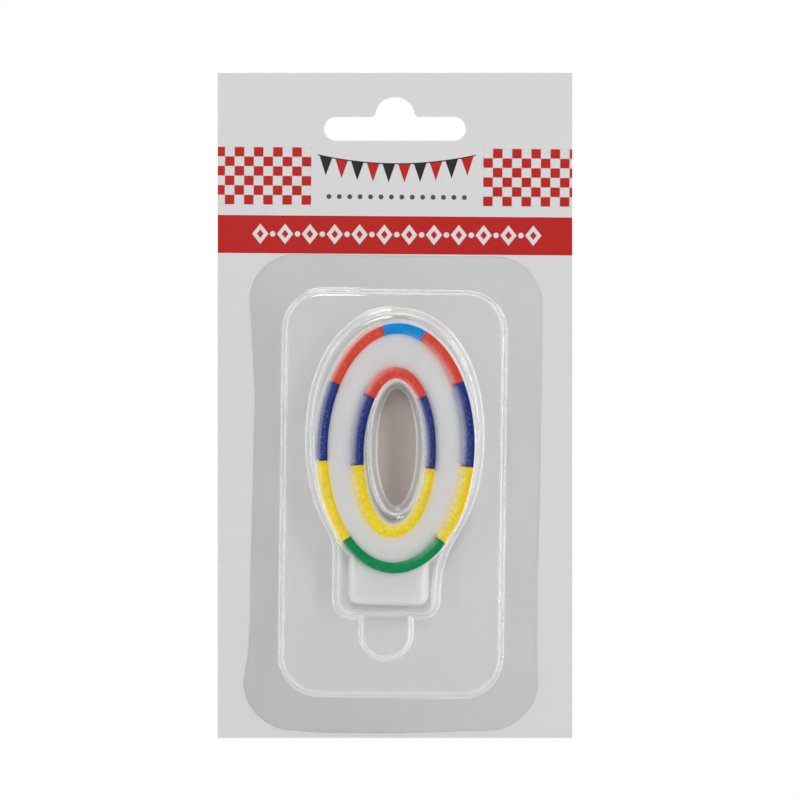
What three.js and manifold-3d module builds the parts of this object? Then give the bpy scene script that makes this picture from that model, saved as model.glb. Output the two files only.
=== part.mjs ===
// A number candle, the figure 0, packed for sale: a wax candle with coloured outlines lies
// under a formed clear film that is sealed to a hang card.
// Millimetres. Each piece is drawn as it lies on a table: X to the right, Y up the card and Z
// towards the viewer. The last step stands the pack upright, with Z up and its front towards -Y.
// The origin is the top of the hang slot's arch, at the back of the card.
import * as THREE from "three";
import { mergeVertices } from "three/addons/utils/BufferGeometryUtils.js";
import Module from "manifold-3d";

const wasm = await Module();
wasm.setup();

// Candle, with every place measured from the middle of the oval
const digitHalfWidth = 17.9;
const digitHalfHeight = 28.45;
const waxThickness = 10;
const waxFrontEdge = 0.8;
const waxBackEdge = 0.5;
const holeHalfWidth = 6.3;
const holeHalfHeight = 15.85;
const holeDrop = 0.95;
const holeEdge = 0.3;
const baseWidth = 17;
const baseOffset = -0.6;
const baseDrop = 34.9;
const baseFillet = 1.2;
const baseCorner = 1;

// Coloured outlines, laid in grooves of the front face
const outerStripeMargin = 0.52;
const outerStripeWidth = 2.35;
const innerStripeMargin = 0.64;
const innerStripeWidth = 2.55;
const grooveDepth = 1.2;
const stripeShoulder = 1.1;
const stripeRise = 0.5;
const inlayGap = 0.25;

// Wick, folded over along the top of the wax
const wickRadius = 0.6;
const wickOffset = -4;
const wickDepth = 11;
const wickBoreGap = 0.3;
const wickLift = 1.3;
const wickReach = 7;

// Clear pick that pushes into the cake
const pickWidth = 9;
const pickThickness = 1.4;
const pickGrip = 7.6;
const pickShow = 11.2;
const pickNotch = 1.2;
const pickSlotGap = 0.3;

// Clear formed film
const filmThickness = 0.3;
const footRadius = 0.6;
const sideRoom = 2;
const endRoom = 0.8;
const frontRoom = 0.7;
const cavityFullness = 2.16;
const cavityEdge = 1.8;
const cavityDraft = 6;
const neckOffset = -1.45;
const neckRoom = 3.45;
const neckEndRoom = 3.3;
const neckLeftFillet = 12;
const neckRightFillet = 25;
const neckCorner = 4;
const pocketRoom = 1.5;
const pocketFrontRoom = 1.2;
const pocketEdge = 1.2;
const wellSideRoom = 0.75;
const wellEndRoom = 1.4;
const wellShift = 0.45;
const wellLift = 1.08;
const wellDraft = 3;
const wellEdge = 2;
const stepHeight = 3.7;
const stepDraft = 8;
const stepEdge = 1.2;
const stepCorner = 9.2;
const stepSideRoom = 5.3;
const stepTopRoom = 4.15;
const stepFootRoom = 8.5;
const stepOffset = -0.3;
const rimWidth = 7.8;
const rimCorner = 10.5;

// Hang card
const cardThickness = 0.5;
const cardSideMargin = 7;
const cardFootMargin = 1.57;
const cardTopMargin = 5.4;
const rimBelowSlot = 35.8;
const slotLength = 32;
const slotHeight = 5.4;
const slotArch = 4.5;
const slotCorner = 1;

// How the candle lies in its cavity, and the film on the card
const filmShift = -0.03;
const candleShift = 0.02;
const candleSag = 2.18;
const candleTurn = 0.9;
const cardSkew = 0.7;

// How far a cutting form runs past the face that it opens
const overrun = 1;

// Steps round each kind of curve
const ovalSteps = 60;
const wellSteps = 40;
const cornerSteps = 5;
const footSteps = 2;
const edgeSteps = 4;
const wickSides = 8;
const wickSteps = 20;

const smallest = 1e-6;
const radians = THREE.MathUtils.degToRad;

// Points along curves that are run counter-clockwise, each with its outward direction.
// Straight runs need no curve: they join the end of one curve to the start of the next.
function trace(curves) {
  const points = [];
  for (const [curve, steps] of curves) {
    for (let i = 0; i <= steps; i++) {
      const at = curve.getPoint(i / steps);
      const along = curve.getTangent(i / steps);
      const last = points.at(-1);
      if (last && last.at.distanceTo(at) < smallest) continue;
      points.push({ at, out: new THREE.Vector2(along.y, -along.x) });
    }
  }
  if (points[0].at.distanceTo(points.at(-1).at) < smallest) points.pop();
  return points;
}

function arc(x, y, radius, from, to, clockwise = false) {
  return new THREE.EllipseCurve(x, y, radius, radius, from, to, clockwise);
}

function oval(halfWidth, halfHeight, steps) {
  return trace([[new THREE.EllipseCurve(0, 0, halfWidth, halfHeight, 0, 2 * Math.PI), steps]]);
}

function roundedBox(left, right, foot, top, corner) {
  const quarter = Math.PI / 2;
  return trace([
    [arc(right - corner, foot + corner, corner, -quarter, 0), cornerSteps],
    [arc(right - corner, top - corner, corner, 0, quarter), cornerSteps],
    [arc(left + corner, top - corner, corner, quarter, 2 * quarter), cornerSteps],
    [arc(left + corner, foot + corner, corner, 2 * quarter, 3 * quarter), cornerSteps],
  ]);
}

// An oval whose sides are the fuller the more its fullness is over 2, which is a true oval.
class Oval extends THREE.Curve {
  constructor(halfWidth, halfHeight, fullness, from, to) {
    super();
    Object.assign(this, { halfWidth, halfHeight, fullness, from, to });
  }

  spread(value, power) {
    return Math.sign(value) * Math.abs(value) ** power;
  }

  getPoint(share, target = new THREE.Vector2()) {
    const angle = this.from + (this.to - this.from) * share;
    const power = 2 / this.fullness;
    const x = this.halfWidth * this.spread(Math.cos(angle), power);
    return target.set(x, this.halfHeight * this.spread(Math.sin(angle), power));
  }

  outward(angle) {
    const power = 2 - 2 / this.fullness;
    const x = this.spread(Math.cos(angle), power) / this.halfWidth;
    return new THREE.Vector2(x, this.spread(Math.sin(angle), power) / this.halfHeight).normalize();
  }
}

// Where a hollow fillet joins the lower right of an oval to an upright wall.
function filletBeside(whole, wall, radius) {
  let low = -Math.PI / 2;
  let high = 0;
  let touch;
  for (let i = 0; i < 50; i++) {
    const angle = (low + high) / 2;
    const out = whole.outward(angle);
    const centre = whole.getPoint(angle / (2 * Math.PI)).addScaledVector(out, radius);
    touch = { angle, centre, facing: out.angle() - 2 * Math.PI };
    if (centre.x < wall + radius) low = angle;
    else high = angle;
  }
  return touch;
}

// An oval that stands on a narrower neck, set off to one side.
function ovalOnNeck({ halfWidth, halfHeight, fullness, neck, offset, drop, fillets, corner }) {
  const whole = new Oval(halfWidth, halfHeight, fullness, 0, 2 * Math.PI);
  const [leftFillet, rightFillet] = fillets;
  const right = offset + neck / 2;
  const left = offset - neck / 2;
  const onRight = filletBeside(whole, right, rightFillet);
  const onLeft = filletBeside(whole, -left, leftFillet);
  const { y: rightHeight } = onRight.centre;
  const { y: leftHeight } = onLeft.centre;
  const up = Math.PI;
  const upper = new Oval(halfWidth, halfHeight, fullness, onRight.angle, up - onLeft.angle);
  return trace([
    [arc(right - corner, corner - drop, corner, -up / 2, 0), cornerSteps],
    [arc(right + rightFillet, rightHeight, rightFillet, up, onRight.facing + up, true), cornerSteps],
    [upper, ovalSteps],
    [arc(left - leftFillet, leftHeight, leftFillet, -onLeft.facing, 0, true), cornerSteps],
    [arc(left + corner, corner - drop, corner, up, 1.5 * up), cornerSteps],
  ]);
}

// The outline moved outwards by a distance, at a height above the table.
function ringAt(outline, outward, height) {
  return outline.map(({ at, out }) => {
    return new THREE.Vector3(at.x + out.x * outward, at.y + out.y * outward, height);
  });
}

// A closed solid through rings of equal counts, stacked upwards and capped at both ends.
function loft(rings) {
  const count = rings[0].length;
  const faces = [];
  for (let level = 1; level < rings.length; level++) {
    const low = (level - 1) * count;
    const high = level * count;
    for (let i = 0; i < count; i++) {
      const next = (i + 1) % count;
      faces.push(low + i, low + next, high + next);
      faces.push(low + i, high + next, high + i);
    }
  }
  const top = (rings.length - 1) * count;
  for (const [a, b, c] of THREE.ShapeUtils.triangulateShape(rings[0], [])) faces.push(a, c, b);
  for (const [a, b, c] of THREE.ShapeUtils.triangulateShape(rings.at(-1), [])) {
    faces.push(top + a, top + b, top + c);
  }
  const geometry = new THREE.BufferGeometry().setFromPoints(rings.flat());
  geometry.setIndex(faces);
  return geometry;
}

function toSolid(geometry) {
  const bare = geometry.clone();
  bare.deleteAttribute("normal");
  bare.deleteAttribute("uv");
  const merged = mergeVertices(bare, 1e-4);
  const vertProperties = new Float32Array(merged.getAttribute("position").array);
  const triVerts = new Uint32Array(merged.getIndex().array);
  return new wasm.Manifold(new wasm.Mesh({ numProp: 3, vertProperties, triVerts }));
}

function toGeometry(solid) {
  const { vertProperties, triVerts } = solid.getMesh();
  const geometry = new THREE.BufferGeometry();
  geometry.setAttribute("position", new THREE.Float32BufferAttribute(vertProperties, 3));
  geometry.setIndex(Array.from(triVerts));
  geometry.computeVertexNormals();
  return geometry;
}

// The section of a formed wall: a hollow foot, a wall that leans in by its draft, a round edge.
// It starts on the sheet at height 0 and its wall line meets that sheet at 0.
function wallSection(height, foot, draft, edge) {
  const lean = radians(draft);
  const footCentre = (foot * (1 - Math.sin(lean))) / Math.cos(lean);
  const edgeCentre = -(edge + (height - edge) * Math.sin(lean)) / Math.cos(lean);
  return trace([
    [arc(footCentre, foot, foot, 1.5 * Math.PI, Math.PI + lean, true), footSteps],
    [arc(edgeCentre, height - edge, edge, lean, Math.PI / 2), edgeSteps],
  ]);
}

// The section carried round an outline. Its side is 1 where the wall rises inwards and -1 where
// it rises outwards, and depth is how far behind the film's front surface it runs.
function wallRings(outline, section, base, side, depth) {
  return section.map(({ at, out }) => {
    return ringAt(outline, side * (at.x - depth * out.x), base + at.y - depth * out.y);
  });
}

// A raised form of the film, or the hollow behind it, reaching below its base by a sink.
function raisedForm(outline, section, base, depth, sink) {
  const rings = wallRings(outline, section, base, 1, depth);
  return toSolid(loft([ringAt(outline, section[0].at.x, base - depth - sink), ...rings]));
}

// A sunken form of the film, open at the top, or the block of it with its wall.
function sunkenForm(outline, section, base, depth, sink) {
  const rings = wallRings(outline, section, base, -1, depth);
  const last = section.at(-1).at;
  const below = ringAt(outline, -section[0].at.x, base - depth - sink);
  const above = ringAt(outline, -last.x, base + last.y + overrun);
  return toSolid(loft(sink > 0 ? [below, ...rings, above] : [...rings, above]));
}

// The cavity's outline, which keeps the candle's outline with room all round.
const cavityOutline = ovalOnNeck({
  halfWidth: digitHalfWidth + sideRoom,
  halfHeight: digitHalfHeight + endRoom,
  fullness: cavityFullness,
  neck: baseWidth + 2 * neckRoom,
  offset: neckOffset,
  drop: candleSag + baseDrop + neckEndRoom,
  fillets: [neckLeftFillet, neckRightFillet],
  corner: neckCorner,
});

const waxOutline = ovalOnNeck({
  halfWidth: digitHalfWidth,
  halfHeight: digitHalfHeight,
  fullness: 2,
  neck: baseWidth,
  offset: baseOffset,
  drop: baseDrop,
  fillets: [baseFillet, baseFillet],
  corner: baseCorner,
});

// Places of the formed film, measured from the middle of its oval
const pickEnd = -baseDrop - pickShow;
const pocketHalfWidth = pickWidth / 2 + pocketRoom;
const pocketFoot = pickEnd - candleSag - pocketRoom;
const stepLeft = stepOffset - digitHalfWidth - sideRoom - stepSideRoom;
const stepRight = stepOffset + digitHalfWidth + sideRoom + stepSideRoom;
const stepFoot = pocketFoot - stepFootRoom;
const stepTop = digitHalfHeight + endRoom + stepTopRoom;
const stepFace = filmThickness + stepHeight;
const filmFront = waxThickness + stripeRise + frontRoom + filmThickness;
const waxMiddle = waxThickness / 2;
const pocketFace = waxMiddle + pickThickness / 2 + pocketFrontRoom + filmThickness;

const rimLeft = stepLeft - rimWidth;
const rimRight = stepRight + rimWidth;
const rimFoot = stepFoot - rimWidth;
const rimTop = stepTop + rimWidth;

// The well's floor, set a little up and to the right of the hole's middle.
function wellOutline() {
  const wallSpread = filmThickness + waxThickness * Math.tan(radians(wellDraft));
  const halfWidth = holeHalfWidth - wellSideRoom - wallSpread;
  const halfHeight = holeHalfHeight - wellEndRoom - wallSpread;
  const middle = new THREE.Vector2(wellShift, wellLift - holeDrop - candleSag);
  return oval(halfWidth, halfHeight, wellSteps).map(({ at, out }) => ({ at: at.add(middle), out }));
}

// The film on its back: rim, step, candle cavity with its neck, pick pocket, and the well that
// drops through the hole of the 0 to the card. Both faces are formed, one film apart.
function blisterShell() {
  const step = roundedBox(stepLeft, stepRight, stepFoot, stepTop, stepCorner);
  const stepWall = wallSection(stepHeight, footRadius, stepDraft, stepEdge);
  const cavityWall = wallSection(filmFront - stepFace, footRadius, cavityDraft, cavityEdge);
  const pocket = roundedBox(
    neckOffset - pocketHalfWidth,
    neckOffset + pocketHalfWidth,
    pocketFoot,
    pocketHalfWidth - baseDrop,
    pocketHalfWidth,
  );
  const pocketWall = wallSection(pocketFace - stepFace, footRadius, cavityDraft, pocketEdge);
  const well = wellOutline();
  const wellWall = wallSection(filmFront - filmThickness, footRadius, wellDraft, wellEdge);

  const rim = roundedBox(rimLeft, rimRight, rimFoot, rimTop, rimCorner);
  const sheet = toSolid(loft([ringAt(rim, 0, 0), ringAt(rim, 0, filmThickness)]));
  const front = sheet
    .add(raisedForm(step, stepWall, filmThickness, 0, filmThickness / 2))
    .add(raisedForm(cavityOutline, cavityWall, stepFace, 0, overrun))
    .add(raisedForm(pocket, pocketWall, stepFace, 0, overrun))
    .subtract(sunkenForm(well, wellWall, filmThickness, 0, 0));
  const behind = raisedForm(step, stepWall, filmThickness, filmThickness, overrun)
    .add(raisedForm(cavityOutline, cavityWall, stepFace, filmThickness, overrun))
    .add(raisedForm(pocket, pocketWall, stepFace, filmThickness, overrun))
    .subtract(sunkenForm(well, wellWall, filmThickness, filmThickness, overrun));
  return toGeometry(front.subtract(behind));
}

// Cuts that hold the coloured outlines: a flat-floored ring, wider than its stripe by two gaps.
function groove(halfWidth, halfHeight, width, drop) {
  const ring = new THREE.Shape();
  const outer = width + inlayGap;
  ring.absellipse(0, -drop, halfWidth + outer, halfHeight + outer, 0, 2 * Math.PI);
  const core = new THREE.Path();
  core.absellipse(0, -drop, halfWidth - inlayGap, halfHeight - inlayGap, 0, 2 * Math.PI);
  ring.holes.push(core);
  const depth = grooveDepth + overrun;
  const options = { depth, bevelEnabled: false, curveSegments: ovalSteps / 2 };
  return new THREE.ExtrudeGeometry(ring, options).translate(0, 0, waxThickness - grooveDepth);
}

// Inner edges of the two coloured rings
const outerRingWidth = digitHalfWidth - outerStripeMargin - outerStripeWidth;
const outerRingHeight = digitHalfHeight - outerStripeMargin - outerStripeWidth;
const innerRingWidth = holeHalfWidth + innerStripeMargin;
const innerRingHeight = holeHalfHeight + innerStripeMargin;

// The wax 0 on its base block, in one pour, with rounded edges and cuts for what it holds.
function digitBody() {
  const turned = [0, 1, 2, 3].map((i) => (i * Math.PI) / 6);
  const back = turned.map((a) => {
    return ringAt(waxOutline, waxBackEdge * (Math.sin(a) - 1), waxBackEdge * (1 - Math.cos(a)));
  });
  const front = turned.map((a) => {
    const height = waxThickness + waxFrontEdge * (Math.sin(a) - 1);
    return ringAt(waxOutline, waxFrontEdge * (Math.cos(a) - 1), height);
  });
  const hole = oval(holeHalfWidth, holeHalfHeight, ovalSteps);
  const holeFront = turned.map((a) => {
    const height = waxThickness + holeEdge * (Math.sin(a) - 1);
    return ringAt(hole, holeEdge * (1 - Math.cos(a)), height);
  });
  const holeCut = loft([
    ringAt(hole, 0, -overrun),
    ...holeFront,
    ringAt(hole, holeEdge, waxThickness + overrun),
  ]).translate(0, -holeDrop, 0);

  const boreTop = digitHalfHeight + overrun;
  const boreLength = wickDepth + wickBoreGap + overrun;
  const bore = new THREE.CylinderGeometry(
    wickRadius + wickBoreGap,
    wickRadius + wickBoreGap,
    boreLength,
    12,
  ).translate(wickOffset, boreTop - boreLength / 2, waxMiddle);
  const slot = new THREE.BoxGeometry(
    pickWidth + 2 * pickSlotGap,
    pickGrip + pickSlotGap + overrun,
    pickThickness + 2 * pickSlotGap,
  ).translate(baseOffset, (pickGrip + pickSlotGap - overrun) / 2 - baseDrop, waxMiddle);

  const body = toSolid(loft([...back, ...front]))
    .subtract(toSolid(holeCut))
    .subtract(toSolid(groove(outerRingWidth, outerRingHeight, outerStripeWidth, 0)))
    .subtract(toSolid(groove(innerRingWidth, innerRingHeight, innerStripeWidth, holeDrop)))
    .subtract(toSolid(bore))
    .subtract(toSolid(slot));
  return toGeometry(body);
}

// Part of an oval, in degrees counter-clockwise from its right-hand side.
class OvalArc extends THREE.Curve {
  constructor(halfWidth, halfHeight, drop, from, to) {
    super();
    Object.assign(this, { halfWidth, halfHeight, drop, from, to });
  }

  getPoint(share, target = new THREE.Vector3()) {
    const angle = radians(this.from + (this.to - this.from) * share);
    const x = this.halfWidth * Math.cos(angle);
    return target.set(x, this.halfHeight * Math.sin(angle) - this.drop, 0);
  }
}

// The section of a coloured stripe: flat foot and sides, and a crown that stands proud.
// It is drawn for a path in the table's plane, where the section's x runs down into the table.
function stripeSection(width) {
  const crown = grooveDepth + stripeRise;
  const bulge = crown - stripeShoulder;
  const section = new THREE.Shape();
  section.moveTo(0, width / 2);
  section.lineTo(-stripeShoulder, width / 2);
  section.absellipse(-stripeShoulder, 0, bulge, width / 2, Math.PI / 2, 1.5 * Math.PI);
  section.lineTo(0, -width / 2);
  return section;
}

// One colour's length of an outline, with half a gap left at each end.
function stripe({ halfWidth, halfHeight, width, drop, from, to }) {
  const middleWidth = halfWidth + width / 2;
  const middleHeight = halfHeight + width / 2;
  const end = THREE.MathUtils.radToDeg(inlayGap / 2 / ((middleWidth + middleHeight) / 2));
  const path = new OvalArc(middleWidth, middleHeight, drop, from + end, to - end);
  const steps = Math.max(4, Math.round(((to - from) * ovalSteps) / 360));
  const options = { steps, curveSegments: 3, bevelEnabled: false, extrudePath: path };
  return new THREE.ExtrudeGeometry(stripeSection(width), options).translate(
    0,
    0,
    waxThickness - grooveDepth,
  );
}

// A round wick that stands in its bore and is folded over along the top of the wax.
function wick() {
  const aboveWax = (x) => {
    const level = Math.sqrt(1 - (x / digitHalfWidth) ** 2);
    return digitHalfHeight * level + wickLift;
  };
  const foot = digitHalfHeight - wickDepth;
  const points = [[wickOffset, foot], [wickOffset, foot + wickDepth / 2]];
  points.push([wickOffset, aboveWax(wickOffset) - 2 * wickLift]);
  points.push([wickOffset + wickLift / 4, aboveWax(wickOffset) - wickLift / 2]);
  for (const share of [0.2, 0.5, 0.8, 1]) {
    const x = wickOffset + share * wickReach;
    points.push([x, aboveWax(x)]);
  }
  const path = new THREE.CatmullRomCurve3(
    points.map(([x, y]) => new THREE.Vector3(x, y, waxMiddle)),
    false,
    "centripetal",
  );
  const section = new THREE.Shape().absarc(0, 0, wickRadius, 0, 2 * Math.PI);
  const options = {
    steps: wickSteps,
    curveSegments: wickSides / 2,
    bevelEnabled: false,
    extrudePath: path,
  };
  return new THREE.ExtrudeGeometry(section, options);
}

// A flat tongue with a round tip; the waist near its top locks it in the wax.
function cakePick() {
  const half = pickWidth / 2;
  const top = pickGrip - baseDrop;
  const waist = top - pickGrip / 2;
  const tongue = new THREE.Shape();
  tongue.moveTo(half, top);
  tongue.lineTo(-half, top);
  tongue.absarc(-half, waist, pickNotch, Math.PI / 2, -Math.PI / 2, true);
  tongue.absarc(0, pickEnd + half, half, Math.PI, 2 * Math.PI);
  tongue.absarc(half, waist, pickNotch, -Math.PI / 2, Math.PI / 2, true);
  tongue.closePath();
  const options = { depth: pickThickness, bevelEnabled: false, curveSegments: 10 };
  return new THREE.ExtrudeGeometry(tongue, options).translate(
    baseOffset,
    0,
    waxMiddle - pickThickness / 2,
  );
}

// The hang slot: a bar with round ends and an arch over its middle, with eased corners.
function hangSlot() {
  const endRadius = slotHeight / 2;
  const endX = slotLength / 2 - endRadius;
  const barTop = -slotArch;
  const barMiddle = barTop - endRadius;
  const cornerX = Math.sqrt((slotArch + slotCorner) ** 2 - slotCorner ** 2);
  const meet = Math.asin(slotCorner / (slotArch + slotCorner));
  const quarter = Math.PI / 2;
  const slot = new THREE.Path();
  slot.absarc(-endX, barMiddle, endRadius, quarter, 3 * quarter);
  slot.absarc(endX, barMiddle, endRadius, -quarter, quarter);
  slot.absarc(cornerX, barTop + slotCorner, slotCorner, 3 * quarter, 2 * quarter + meet, true);
  slot.absarc(0, barTop, slotArch, meet, 2 * quarter - meet);
  slot.absarc(-cornerX, barTop + slotCorner, slotCorner, -meet, -quarter, true);
  slot.closePath();
  return slot;
}

function backingCard() {
  const halfWidth = (rimRight - rimLeft) / 2 + cardSideMargin;
  const foot = -rimBelowSlot - (rimTop - rimFoot) - cardFootMargin;
  const card = new THREE.Shape();
  card.moveTo(-halfWidth, foot);
  card.lineTo(halfWidth, foot);
  card.lineTo(halfWidth, cardTopMargin);
  card.lineTo(-halfWidth, cardTopMargin);
  card.closePath();
  card.holes.push(hangSlot());
  const options = { depth: cardThickness, bevelEnabled: false, curveSegments: 8 };
  return new THREE.ExtrudeGeometry(card, options);
}

function piece(name, geometry, color, roughness, opacity = 1) {
  const looks = { color, roughness, metalness: 0, opacity, transparent: opacity < 1 };
  const mesh = new THREE.Mesh(geometry, new THREE.MeshStandardMaterial(looks));
  mesh.name = name;
  return mesh;
}

const waxColours = {
  azure: 0x0088cf,
  red: 0xd64b3c,
  navy: 0x24347c,
  yellow: 0xe6cd2a,
  green: 0x108a54,
};

// Each colour's stretch of the two outlines, in degrees from the right-hand side
const outerStripes = [
  ["outer_stripe_yellow_right", "yellow", -49, -8],
  ["outer_stripe_navy_right", "navy", -8, 34],
  ["outer_stripe_red_right", "red", 34, 70.5],
  ["outer_stripe_blue", "azure", 70.5, 102.5],
  ["outer_stripe_red_left", "red", 102.5, 148],
  ["outer_stripe_navy_left", "navy", 148, 187],
  ["outer_stripe_yellow_left", "yellow", 187, 230],
  ["outer_stripe_green", "green", 230, 311],
];
const innerStripes = [
  ["inner_stripe_navy_right", "navy", -11, 44.5],
  ["inner_stripe_red", "red", 44.5, 135.5],
  ["inner_stripe_navy_left", "navy", 135.5, 190],
  ["inner_stripe_yellow", "yellow", 190, 349],
];

function candle() {
  const group = new THREE.Group();
  group.add(piece("digit_body", digitBody(), 0xe4e4e2, 0.4));
  const outerRing = {
    halfWidth: outerRingWidth,
    halfHeight: outerRingHeight,
    width: outerStripeWidth,
    drop: 0,
  };
  const innerRing = {
    halfWidth: innerRingWidth,
    halfHeight: innerRingHeight,
    width: innerStripeWidth,
    drop: holeDrop,
  };
  for (const [ring, stripes] of [[outerRing, outerStripes], [innerRing, innerStripes]]) {
    for (const [name, colour, from, to] of stripes) {
      group.add(piece(name, stripe({ ...ring, from, to }), waxColours[colour], 0.35));
    }
  }
  group.add(piece("wick", wick(), 0xf2efe6, 0.9));
  group.add(piece("cake_pick", cakePick(), 0xe8eef0, 0.1, 0.5));
  return group;
}

const pack = new THREE.Group();
pack.add(piece("backing_card", backingCard(), 0xd8d8d8, 0.35));

// The film and what it holds are sealed a little askew: the card was cut off square.
const sealed = new THREE.Group();
sealed.position.set(filmShift, -rimBelowSlot - rimTop, cardThickness);
sealed.rotation.z = -radians(cardSkew);
sealed.add(piece("blister_shell", blisterShell(), 0xeef2f4, 0.05, 0.35));

const loose = candle();
loose.position.set(candleShift, -candleSag, 0);
loose.rotation.z = -radians(candleTurn);
sealed.add(loose);
pack.add(sealed);

pack.rotation.x = Math.PI / 2;

export default pack;
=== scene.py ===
# %% [markdown]
# # A wax number candle in its blister pack
# The pack is a printed hang card, a sheet of clear film that was drawn by heat and vacuum over a
# mould, and a white wax 0 with coloured outlines under it. The solid model is loaded first and
# stays as it is. Each piece is then dressed: it gets a finer mesh where light shows every facet,
# as on clear film, and a material of its own where its plain shape is already right.

# %% Load the frame
import math

import bmesh
import bpy
import numpy as np
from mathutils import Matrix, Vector


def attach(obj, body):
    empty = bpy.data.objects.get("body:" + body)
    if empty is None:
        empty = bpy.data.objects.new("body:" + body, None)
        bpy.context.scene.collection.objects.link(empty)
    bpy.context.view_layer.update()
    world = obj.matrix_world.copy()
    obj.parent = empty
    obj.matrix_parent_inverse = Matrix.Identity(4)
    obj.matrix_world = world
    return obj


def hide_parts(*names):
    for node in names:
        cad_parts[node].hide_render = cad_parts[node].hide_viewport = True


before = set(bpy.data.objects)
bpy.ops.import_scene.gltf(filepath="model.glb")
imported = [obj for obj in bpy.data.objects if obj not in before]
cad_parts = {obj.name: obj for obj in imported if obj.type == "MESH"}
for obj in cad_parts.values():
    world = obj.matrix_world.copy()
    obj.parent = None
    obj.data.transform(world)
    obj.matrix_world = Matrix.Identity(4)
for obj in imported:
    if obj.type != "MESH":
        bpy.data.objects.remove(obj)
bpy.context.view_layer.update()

scene = bpy.context.scene

# %% [markdown]
# ## One drawing for everything
# A maker draws the pack lying on a table: x to the right, y up the card, z towards the viewer,
# all in millimetres. The film was sealed a little askew, and the candle lies loose in its cavity,
# so film and candle each have a place of their own. Only the last step stands a drawing upright
# in metres. This keeps every number readable, and each mesh lands where the solids are.

# %% Places of the film and the candle
FILM_LEAN = math.radians(-0.7)
FILM_PLACE = (-0.03, -77.0, 0.5)
CANDLE_LEAN = math.radians(-0.9)
CANDLE_PLACE = (0.02, -2.18, 0.0)
MM = 0.001


def placed(flat, lean, place):
    """Points turned by a lean on the table and moved to a place."""
    cos, sin = math.cos(lean), math.sin(lean)
    x = flat[:, 0] * cos - flat[:, 1] * sin
    y = flat[:, 0] * sin + flat[:, 1] * cos
    return np.column_stack((x, y, flat[:, 2])) + place


def stood_up(points, candle=False):
    """Points of the film's or the candle's drawing, in metres in the row frame."""
    flat = np.asarray(points, float)
    if candle:
        flat = placed(flat, CANDLE_LEAN, CANDLE_PLACE)
    x, y, z = placed(flat, FILM_LEAN, FILM_PLACE).T
    return np.column_stack((x, -z, y)) * MM


print("middle of the film's oval, m:", stood_up([(0, 0, 0)])[0].round(4))

# %% [markdown]
# ## The camera
# The photograph looks straight at the card with almost no perspective, as a long lens does. The
# frame is 180.5 mm wide at the card. A 200 mm lens needs about a metre for that.

# %% Camera
FRAME_WIDTH = 0.1805
LENS = 200
SENSOR = 36
VIEW_MIDDLE = Vector((0.00113, -0.0005, -0.0684))

camera_data = bpy.data.cameras.new("camera")
camera_data.lens = LENS
camera_data.sensor_width = SENSOR
camera = bpy.data.objects.new("camera", camera_data)
camera.location = VIEW_MIDDLE + Vector((0, -FRAME_WIDTH * LENS / SENSOR, 0))
camera.rotation_euler = (math.radians(90), 0, 0)
scene.collection.objects.link(camera)
scene.camera = camera
print("camera stands", round(-camera.location.y, 3), "m in front of the card")

# %% [markdown]
# ## Shader maths as expressions
# A procedural finish is arithmetic on positions: how far a point is from an edge, which square of
# a pattern it is in, how thick the ink lies. Wiring that by hand hides the sum in a web of nodes.
# One small class wraps a socket and gives it Python's operators, so that each line of maths adds
# its own Math nodes and reads as it would on paper.


# %% The socket class
class Value:
    """A socket that carries a number, with operators that add Math nodes."""

    def __init__(self, paint, socket):
        self.paint = paint
        self.socket = socket

    def math(self, operation, *others, clamp=False):
        node = self.paint.node("ShaderNodeMath", operation=operation, use_clamp=clamp)
        for socket, value in zip(node.inputs, (self, *others)):
            self.paint.feed(socket, value)
        return Value(self.paint, node.outputs[0])

    def __add__(self, other):
        return self.math("ADD", other)

    def __sub__(self, other):
        return self.math("SUBTRACT", other)

    def __rsub__(self, other):
        return self.paint.number(other).math("SUBTRACT", self)

    def __mul__(self, other):
        return self.math("MULTIPLY", other)

    def __truediv__(self, other):
        return self.math("DIVIDE", other)

    def __rtruediv__(self, other):
        return self.paint.number(other).math("DIVIDE", self)

    def __pow__(self, other):
        return self.math("POWER", other)

    def __neg__(self):
        return self.math("MULTIPLY", -1)

    __radd__ = __add__
    __rmul__ = __mul__

    def above(self, edge, soft=0.0):
        """1 where the value is over an edge and 0 under it, with a soft step in between."""
        if soft == 0:
            return self.math("GREATER_THAN", edge)
        return ((self - edge) / soft + 0.5).math("MULTIPLY", 1, clamp=True)

    def between(self, low, high, soft=0.0):
        return self.above(low, soft) * (1 - self.above(high, soft))


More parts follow.
